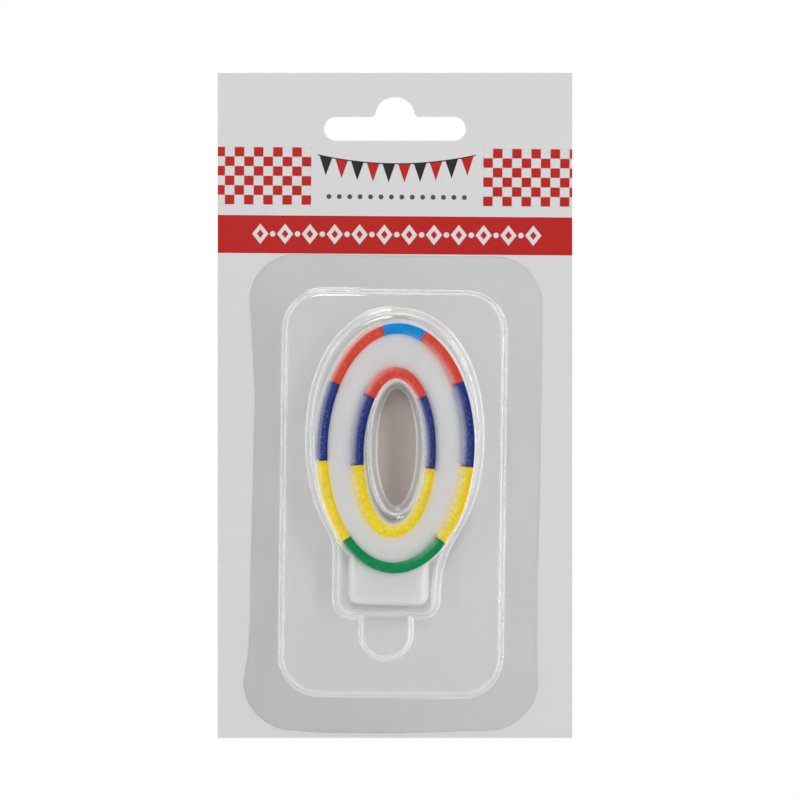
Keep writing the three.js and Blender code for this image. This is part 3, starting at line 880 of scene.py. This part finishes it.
def stripe_tree():
    tree = Tree("wax_stripe", [
        ("Half Width", FLOAT), ("Half Height", FLOAT), ("Drop", FLOAT), ("From", FLOAT),
        ("To", FLOAT), ("Bead Width", FLOAT), ("Bead Height", FLOAT), ("Sideways", FLOAT),
        ("Steps", "NodeSocketInt"), ("Material", "NodeSocketMaterial"),
    ])
    line = tree.node("GeometryNodeCurvePrimitiveLine", {"Start": (0, 0, 0), "End": (1, 0, 0)})
    path = tree.node(
        "GeometryNodeResampleCurve", {"Curve": line.outputs[0], "Count": tree.wanted("Steps")}
    )
    share = tree.out(tree.node("GeometryNodeSplineParameter"), "Factor")
    start, end = tree.wanted("From"), tree.wanted("To")
    angle = (start + (end - start) * share) * (math.pi / 180)
    cosine, sine = angle.math("COSINE"), angle.math("SINE")
    spot = tree.node("ShaderNodeCombineXYZ", {
        "X": tree.wanted("Half Width") * cosine + tree.wanted("Sideways") * 0.5,
        "Y": tree.wanted("Half Height") * sine - tree.wanted("Drop"),
    })
    bent = tree.node("GeometryNodeSetPosition", {
        "Geometry": path.outputs[0], "Position": spot.outputs[0],
    })
    upright = tree.node(
        "GeometryNodeSetCurveNormal", {"Curve": bent.outputs[0]}, mode="Z_UP"
    )
    near_end = (share * (1 - share) * 22).math("MINIMUM", 1)
    swell = 1 + cosine * tree.wanted("Sideways") / tree.wanted("Bead Width")
    turned = tree.node("GeometryNodeStoreNamedAttribute", {
        "Geometry": upright.outputs[0], "Name": "angle", "Value": angle,
    })
    kept = tree.node("GeometryNodeStoreNamedAttribute", {
        "Geometry": turned.outputs[0], "Name": "inner", "Value": near_end,
    })
    bead = tree.node("GeometryNodeCurvePrimitiveCircle", {"Resolution": 28, "Radius": 0.5})
    place = tree.node("ShaderNodeSeparateXYZ", {0: tree.node("GeometryNodeInputPosition").outputs[0]})
    across, height = tree.out(place, 0), tree.out(place, 1)
    over = height.above(0)
    domed = over * (0.5 - across * across * 2) - (1 - over) * 0.15
    profile_spot = tree.node("ShaderNodeCombineXYZ", {
        "X": across * tree.wanted("Bead Width"),
        "Y": domed * 2 * tree.wanted("Bead Height"),
    })
    marked = tree.node("GeometryNodeStoreNamedAttribute", {
        "Geometry": bead.outputs[0], "Name": "across", "Value": across * 2,
    })
    profile = tree.node("GeometryNodeSetPosition", {
        "Geometry": marked.outputs[0], "Position": profile_spot.outputs[0],
    })
    swept = tree.node("GeometryNodeCurveToMesh", {
        "Curve": kept.outputs[0], "Profile Curve": profile.outputs[0],
        "Scale": swell, "Fill Caps": True,
    })
    tree.result(swept.outputs[0])
    return tree


stripes_made = stripe_tree()


# %% [markdown]
# ## Dyed wax
# Each bead is pale at its left and deep at its right. That is painted light and shade: it stands for a
# bead lit from one side through the translucent wax. The stored place across the bead, turned by the side
# of the ring it is on, drives that change. Along the left of the outer ring the beads are kept deeper in
# colour. A bead is also deep at its two ends, where one colour meets the next. Wax lets light through, so
# the beads cast no shadow: with one, the white beside them would turn grey.


# %% Dyed wax material
def dyed_wax(name, dye, deep, specks, upward, left_deepening):
    material, paint = new_paint(f"dyed_wax_{name}")
    spot, _, _, _ = paint.place(CANDLE_MIDDLE, -FILM_LEAN - CANDLE_LEAN)
    across = paint.out(paint.node("ShaderNodeAttribute", attribute_name="across"), "Fac")
    angle = paint.out(paint.node("ShaderNodeAttribute", attribute_name="angle"), "Fac")
    grain = paint.noise(spot, 0.45, 3, 0.7)
    mottle = paint.noise(spot, 0.8, 3) * 0.5 + paint.noise(spot, 3, 2) * 0.5
    side = angle.math("COSINE")
    # Painted light and shade: each bead is pale at its left and deep at its right, as if lit from one side
    # through the wax.
    right = across * (side - angle.math("SINE") * upward) + mottle * 0.35
    deepened_left = (-side).math("MAXIMUM", 0) * left_deepening
    thin = 1 - (right + deepened_left).above(-0.5, 1.0)
    speck = paint.noise(spot, 0.5, 3, 0.7).above(0.12, 0.25) * specks
    colour = paint.colour(dye, WAX_WHITE, (thin * 0.62).math("MAXIMUM", speck))
    inner = paint.out(paint.node("ShaderNodeAttribute", attribute_name="inner"), "Fac")
    dark = right.above(0.45, 0.8).math("MAXIMUM", (1 - inner) * 0.8)
    colour = paint.colour(colour, deep, 0.8 * dark)
    shiny = paint.node("ShaderNodeBsdfPrincipled", {
        "Base Color": paint.shade(colour, 1 + mottle * 0.4 + grain * 0.8),
        "Roughness": 0.33 + mottle * 0.15,
        "Subsurface Weight": 0.15,
        "Subsurface Radius": (1.0, 0.9, 0.8),
        "Subsurface Scale": 0.0006,
        "Specular IOR Level": 0.15,
        "Normal": paint.bump(mottle + grain * 0.3, 0.00015),
    })
    paint.surface(shiny.outputs[0])
    return material


DEEP = {
    "azure": rgb(0, 122, 200),
    "red": rgb(206, 52, 34),
    "navy": rgb(16, 30, 100),
    "yellow": rgb(232, 196, 8),
    "green": rgb(0, 118, 66),
}
SPECKS = {"azure": 0.03, "red": 0.16, "navy": 0.22, "yellow": 0.12, "green": 0.06}

# %% Lay the stripes
for ring_name, ring, sideways, upward, left_deepening, stripes in (
    ("outer", OUTER_RING, 0.45, 0.0, 0.45, OUTER_STRIPES),
    ("inner", INNER_RING, -0.3, 0.3, 0.0, INNER_STRIPES),
):
    half_width, half_height, width, drop = ring
    for label, dye, start, end in stripes:
        wax_dye = dyed_wax(f"{ring_name}_{label}", DYES[dye], DEEP[dye], SPECKS[dye], upward, left_deepening)
        thing = stripes_made.mesh(f"{ring_name}_bead_{label}", {
            "Half Width": half_width + width / 2,
            "Half Height": half_height + width / 2,
            "Drop": drop,
            "From": float(start),
            "To": float(end),
            "Bead Width": width,
            "Bead Height": 0.28,
            "Sideways": sideways,
            "Steps": int((end - start) * 1.2),
            "Material": wax_dye,
        })
        flat = np.array([v.co for v in thing.data.vertices])
        flat[:, 2] = flat[:, 2] + WAX
        thing.data.vertices.foreach_set("co", stood_up(flat, candle=True).ravel())
        outward(thing)
        thing.data.shade_smooth()
        thing.data.set_sharp_from_angle(angle=math.radians(50))
        thing.visible_shadow = False
        finish_piece(thing, f"{dye}_wax", (wax_dye,), f"{ring_name}_stripe_{label}")

# %% [markdown]
# ## The wick
# A braided cotton wick, folded over on top of the wax to fit under the film. A braid is yarns
# that circle one line, half of them one way and half the other, each passing over and under the
# rest. Geometry Nodes copy the wick's own path once for each yarn, move each copy's points round
# the path by that rule, and sweep a thin yarn along it.

# %% The braid tree
WICK_PATH = ((-4, 22.95), (-4, 26.43), (-3.675, 28.38), (-2.6, 29.45), (-0.5, 29.74),
             (1.6, 29.64), (3.0, 29.34))


def braid_tree():
    tree = Tree("cotton_braid", [
        ("Path", "NodeSocketGeometry"), ("Radius", FLOAT), ("Yarn", FLOAT), ("Turns", FLOAT),
        ("Yarns", "NodeSocketInt"), ("Steps", "NodeSocketInt"), ("Material", "NodeSocketMaterial"),
    ])
    path = tree.node("GeometryNodeResampleCurve", {
        "Curve": tree.inputs.outputs["Path"], "Count": tree.wanted("Steps"),
    })
    copies = tree.node(
        "GeometryNodeDuplicateElements",
        {"Geometry": path.outputs[0], "Amount": tree.wanted("Yarns")},
        domain="SPLINE",
    )
    index = tree.out(copies, "Duplicate Index")
    way = 1 - 2 * index.math("FLOORED_MODULO", 2)
    share = tree.out(tree.node("GeometryNodeSplineParameter"), "Factor")
    start = (index / tree.wanted("Yarns")) * (2 * math.pi)
    turn = way * share * tree.wanted("Turns") * (2 * math.pi) + start
    weave = 1 + 0.28 * (share * tree.wanted("Turns") * tree.wanted("Yarns") * math.pi
                        + index * (math.pi / 2)).math("SINE")
    reach = (tree.wanted("Radius") - tree.wanted("Yarn")) * weave * 0.78
    normal = tree.node("GeometryNodeInputNormal").outputs[0]
    tangent = tree.node("GeometryNodeInputTangent").outputs[0]
    beside = tree.node("ShaderNodeVectorMath", {0: tangent, 1: normal}, operation="CROSS_PRODUCT")
    out = tree.node("ShaderNodeVectorMath", operation="SCALE")
    tree.feed(out.inputs[0], normal)
    tree.feed(out.inputs[3], reach * turn.math("COSINE"))
    side = tree.node("ShaderNodeVectorMath", operation="SCALE")
    tree.feed(side.inputs[0], beside.outputs[0])
    tree.feed(side.inputs[3], reach * turn.math("SINE"))
    offset = tree.node("ShaderNodeVectorMath", {0: out.outputs[0], 1: side.outputs[0]}, operation="ADD")
    moved = tree.node("GeometryNodeSetPosition", {
        "Geometry": copies.outputs[0], "Offset": offset.outputs[0],
    })
    yarn = tree.node(
        "GeometryNodeCurvePrimitiveCircle", {"Resolution": 8, "Radius": tree.wanted("Yarn")}
    )
    swept = tree.node("GeometryNodeCurveToMesh", {
        "Curve": moved.outputs[0], "Profile Curve": yarn.outputs[0], "Fill Caps": True,
    })
    tree.result(swept.outputs[0])
    return tree


def wick_curve():
    curve = bpy.data.curves.new("wick_path", "CURVE")
    curve.dimensions = "3D"
    spline = curve.splines.new("NURBS")
    spline.points.add(len(WICK_PATH) - 1)
    for point, (x, y) in zip(spline.points, WICK_PATH):
        point.co = (x, y, 5.0, 1)
    spline.order_u = 4
    spline.use_endpoint_u = True
    curve.resolution_u = 12
    return curve


def cotton():
    material, paint = new_paint("waxed_cotton")
    spot, _, _, _ = paint.place(CANDLE_MIDDLE, -FILM_LEAN - CANDLE_LEAN)
    fibre = paint.noise(spot, 0.12, 3)
    patch = paint.noise(spot, 1.0, 2)
    colour = paint.colour((0.80, 0.78, 0.72, 1), (0.66, 0.63, 0.56, 1), fibre + patch + 0.4)
    shiny = paint.node("ShaderNodeBsdfPrincipled", {
        "Base Color": colour,
        "Roughness": 0.75 + fibre * 0.3,
        "Sheen Weight": 0.2,
        "Normal": paint.bump(fibre, 0.0001),
    })
    paint.surface(shiny.outputs[0])
    return material


def braided_wick(material):
    braid = braid_tree()
    path = bpy.data.objects.new("wick_path", wick_curve())
    scene.collection.objects.link(path)
    step = path.modifiers.new("braid", "NODES")
    step.node_group = braid.tree
    for label, value in (
        ("Radius", 0.6), ("Yarn", 0.17), ("Turns", 3.0), ("Yarns", 8), ("Steps", 120),
        ("Material", material),
    ):
        step[braid.keys[label]] = value
    depsgraph = bpy.context.evaluated_depsgraph_get()
    mesh = bpy.data.meshes.new_from_object(path.evaluated_get(depsgraph))
    bpy.data.objects.remove(path)
    flat = np.array([v.co for v in mesh.vertices])
    mesh.vertices.foreach_set("co", stood_up(flat, candle=True).ravel())
    thing = bpy.data.objects.new("braided_wick", mesh)
    scene.collection.objects.link(thing)
    outward(thing)
    mesh.shade_smooth()
    return thing


yarn_cotton = cotton()
finish_piece(braided_wick(yarn_cotton), "cotton", (yarn_cotton,), "wick")

# %% [markdown]
# ## The pick
# A clear moulded tongue that pushes into the cake. The solid has its true outline with sharp
# edges, so a copy of its shape is drawn again with a small rounding, which is what catches light.


# %% Pick
def pick_piece():
    half, top, notch = 4.5, -27.3, 1.2
    waist, end, thick, soft = top - 3.8, -46.1, 1.4, 0.25
    q = math.pi / 2
    at, out = joined(
        arc(0, end + half, half, half, -2 * q, 0, 40),
        arc(half, waist, notch, notch, -q, -3 * q, 14),
        (np.array(((half, top),)), np.array(((0.7071, 0.7071),))),
        (np.array(((-half, top),)), np.array(((-0.7071, 0.7071),))),
        arc(-half, waist, notch, notch, q, -q, 14),
    )
    at = at + np.array((-0.6, 0))
    outline = dense((at, out), 0.6)
    low, high = 5 - thick / 2, 5 + thick / 2
    turned = np.linspace(0, q, 5)
    levels = [flat_ring(outline, soft * (math.sin(a) - 1), low + soft * (1 - math.cos(a)))
              for a in turned]
    levels += [flat_ring(outline, soft * (math.sin(a) - 1), high - soft * (1 - math.cos(a)))
               for a in turned[::-1]]
    thing = new_piece("clear_pick", *loft(levels), candle=True)
    outward(thing)
    thing.data.shade_smooth()
    thing.data.set_sharp_from_angle(angle=math.radians(40))
    return thing


pick_clear = clear_sheet("clear_moulded_pick", (1, 1, 1, 1), 0.06, 0.015, 0.03)
finish_piece(pick_piece(), "clear_plastic", (pick_clear,), "cake_pick")

# %% [markdown]
# ## The printed card
# A coated board, 0.5 mm thick, with its hang slot: its plain solid has the right shape, so it
# stays and only gets a finish. Printing is patterns on Object coordinates, turned a little
# because the print doesn't sit square on the board: checks at both sides, a string of pennants
# over a row of dots between them, and a red band with white diamonds. The board's own tone, its
# fibres and its raw edges and back follow.

# %% Card material
PRINT_RED = rgb(186, 30, 26)
PRINT_BLACK = rgb(38, 36, 36)
PRINT_TURN = math.radians(0.42)
CHECK = 2.166
CHECK_TOP = -11.53
BAND = (-35.5, -26.94)


def checks(x, z):
    """Six rows of checks at each side of the card."""
    side = x.math("ABSOLUTE")
    from_edge = side - 18.88 - x.above(0) * 1.02
    columns = from_edge / CHECK
    rows = (CHECK_TOP - z) / CHECK
    wave = (columns * math.pi).math("SINE") * (rows * math.pi).math("SINE")
    return (1 - wave.above(0, 0.12)) * columns.above(0) * rows.between(0, 6)


def pennants(x, z):
    """A sagging string and the flags on it, every other one red."""
    string = -13.2 - 1.9 * (1 - (x / 17.5) ** 2)
    cord = (z - string).math("ABSOLUTE").between(-1, 0.13, 0.06)
    inside = x.between(-17.5, 18.2)
    flag = 3.55
    count = (x + 17.4) / flag
    middle = (count.math("FRACT") - 0.5).math("ABSOLUTE") * flag
    below = string - z
    shape = (1.45 - middle - below * 0.34).above(0, 0.1) * below.above(0.05, 0.08)
    red = (count / 2).math("FRACT").above(0.5)
    return shape * inside * red, (shape * (1 - red)).math("MAXIMUM", cord) * inside


def confetti(x, z):
    """A row of small dots and squares under the pennants."""
    step = 2.35
    count = (x - 0.4) / step
    beside = (count.math("FRACT") - 0.5).math("ABSOLUTE") * step
    up = (z + 22.6).math("ABSOLUTE")
    dots = (0.55 - (beside * beside + up * up).math("SQRT")).above(0, 0.1)
    return dots * x.between(-16.6, 17.4)


def band_marks(x, z):
    """White diamonds and dots along the red band."""
    step = 5.6
    count = (x - 0.5) / step
    beside = (count.math("FRACT") - 0.5).math("ABSOLUTE") * step
    up = (z + 31.1).math("ABSOLUTE")
    diamond = (2.3 - beside * 1.25 - up).above(0, 0.1)
    hollow = (0.95 - beside * 1.25 - up).above(0, 0.1)
    aside = step / 2 - beside
    dots = (0.62 - (aside * aside + up * up).math("SQRT")).above(0, 0.1)
    return (diamond - hollow + dots) * x.between(-32.3, 33.3)


def board():
    material, paint = new_paint("coated_board_printed")
    spot, x, z, depth = paint.place((0, 0, -0.018), PRINT_TURN)
    z = z - 18
    front = depth.above(0.45)
    back = 1 - depth.above(0.05)
    grain = paint.noise(spot, 0.25, 2)
    cloud = paint.noise(spot, 14, 2)
    ink_tone = 1 + grain * 0.05 + cloud * 0.04
    face = paint.shade((0.70, 0.70, 0.705, 1), 1 + grain * 0.02 + cloud * 0.02)
    red = paint.shade(PRINT_RED, ink_tone)
    red_flags, black_flags = pennants(x, z)
    face = paint.colour(face, red, checks(x, z).math("MAXIMUM", red_flags))
    face = paint.colour(face, PRINT_BLACK, black_flags.math("MAXIMUM", confetti(x, z) * 0.92))
    band = z.between(BAND[0], BAND[1])
    face = paint.colour(face, red, band)
    face = paint.colour(face, (0.72, 0.70, 0.70, 1), band * band_marks(x, z))
    fibre = paint.noise(spot, 0.8, 5, 0.75)
    speck = paint.noise(spot, 1.1, 1).above(0.2, 0.04) * 0.4
    mottle = fibre * 1.5 + speck + cloud * 0.5 + 0.35
    raw = paint.colour((0.70, 0.69, 0.67, 1), (0.46, 0.45, 0.43, 1), mottle)
    edge = paint.colour((0.52, 0.51, 0.49, 1), (0.68, 0.67, 0.66, 1), (depth * 9).math("SINE") * 0.4 + 0.5)
    colour = paint.colour(edge, face, front)
    colour = paint.colour(colour, raw, back)
    rough = 0.38 * front + 0.85 * (1 - front) + grain * 0.06
    height = grain * 0.25 * front + fibre * (1 - front)
    shiny = paint.node("ShaderNodeBsdfPrincipled", {
        "Base Color": colour,
        "Roughness": rough,
        "Specular IOR Level": 0.25,
        "Normal": paint.bump(height, 0.00008),
    })
    paint.surface(shiny.outputs[0])
    return material


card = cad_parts["backing_card"]
card.data.materials.clear()
card.data.materials.append(board())

# %% [markdown]
# ## Floor, sky and lamps
# The pack hangs by its slot, so the floor is some way below it. The sky is plain white to the
# camera and, on the side behind the pack, to mirrors, while the room on the camera's side stays
# dark in mirrors, as it does in a studio: that keeps the film clear. Softboxes draw the film's
# white lines: tall ones in front at the left and right, narrow ones beside the pack, one above
# in front, and a wide one overhead for the bars at the cavity's top. One behind lights the back.
# A ray can pass many faces of film on its way to the card, so it is allowed to.

# %% Floor
floor_mesh = bpy.data.meshes.new("floor")
ring = [(0.8 * math.cos(a), 0.8 * math.sin(a), -0.30) for a in np.linspace(0, 2 * math.pi, 97)[:-1]]
floor_mesh.from_pydata(ring, [], [list(range(96))])
floor = bpy.data.objects.new("floor", floor_mesh)
scene.collection.objects.link(floor)
floor_paint, paint = new_paint("pale_floor")
seen = paint.out(paint.node("ShaderNodeLightPath"), "Is Camera Ray")
matt = paint.node("ShaderNodeBsdfDiffuse", {"Color": (0.86, 0.86, 0.86, 1)})
bright = paint.node("ShaderNodeEmission", {"Color": (1, 1, 1, 1), "Strength": 1})
paint.surface(paint.node(
    "ShaderNodeMixShader", {0: seen * 0.5, 1: matt.outputs[0], 2: bright.outputs[0]}
).outputs[0])
floor_mesh.materials.append(floor_paint)

# %% World
world = bpy.data.worlds.new("studio")
scene.world = world
world.use_nodes = True
sky = Paint(world.node_tree)
FILL = 0.228
ROOM = 0.03
path = sky.node("ShaderNodeLightPath")
to_camera = sky.out(path, "Is Camera Ray")
to_mirror = sky.out(path, "Is Glossy Ray").math("MAXIMUM", sky.out(path, "Is Transmission Ray"))
direction = sky.node("ShaderNodeTexCoord").outputs["Generated"]
toward = sky.out(sky.node("ShaderNodeSeparateXYZ", {0: direction}), "Y")
behind_pack = toward.above(0.25, 0.5)
mirrored = behind_pack + (1 - behind_pack) * ROOM
strength = to_mirror * mirrored + (1 - to_mirror) * FILL
strength = to_camera + (1 - to_camera) * strength
light = sky.node("ShaderNodeBackground", {"Color": (1, 1, 1, 1), "Strength": strength})
end = sky.node("ShaderNodeOutputWorld")
sky.feed(end.inputs["Surface"], light.outputs[0])

# %% Lamps
AIM = Vector((0, 0, -0.075))
LAMPS = (
    ("left_softbox", (-0.58, -0.68, 0.0), 0.09, 1.1, 1.7),
    ("right_softbox", (0.58, -0.68, -0.02), 0.10, 1.1, 2.6),
    ("left_edge_light", (-0.72, 0.0, -0.05), 0.08, 1.1, 2.2),
    ("right_edge_light", (0.72, 0.0, -0.05), 0.08, 1.1, 3.0),
    ("top_softbox", (-0.09, -0.90, 0.345), 0.15, 0.30, 2.0),
    ("ceiling_softbox", (-0.05, -0.10, 0.75), 0.90, 0.17, 2.4),
    ("back_softbox", (0.35, 0.70, 0.35), 0.60, 0.60, 3.6),
)
for name, where, wide, tall, watts in LAMPS:
    lamp_data = bpy.data.lights.new(name, "AREA")
    lamp_data.shape = "RECTANGLE"
    lamp_data.size = wide
    lamp_data.size_y = tall
    lamp_data.energy = watts
    lamp = bpy.data.objects.new(name, lamp_data)
    lamp.location = where
    lamp.rotation_euler = (AIM - Vector(where)).to_track_quat("-Z", "Y").to_euler()
    lamp.visible_camera = False
    scene.collection.objects.link(lamp)
    print(name, "mirrors at", round(watts / (math.pi * wide * tall), 2))

scene.view_settings.view_transform = "Standard"
scene.cycles.transparent_max_bounces = 32
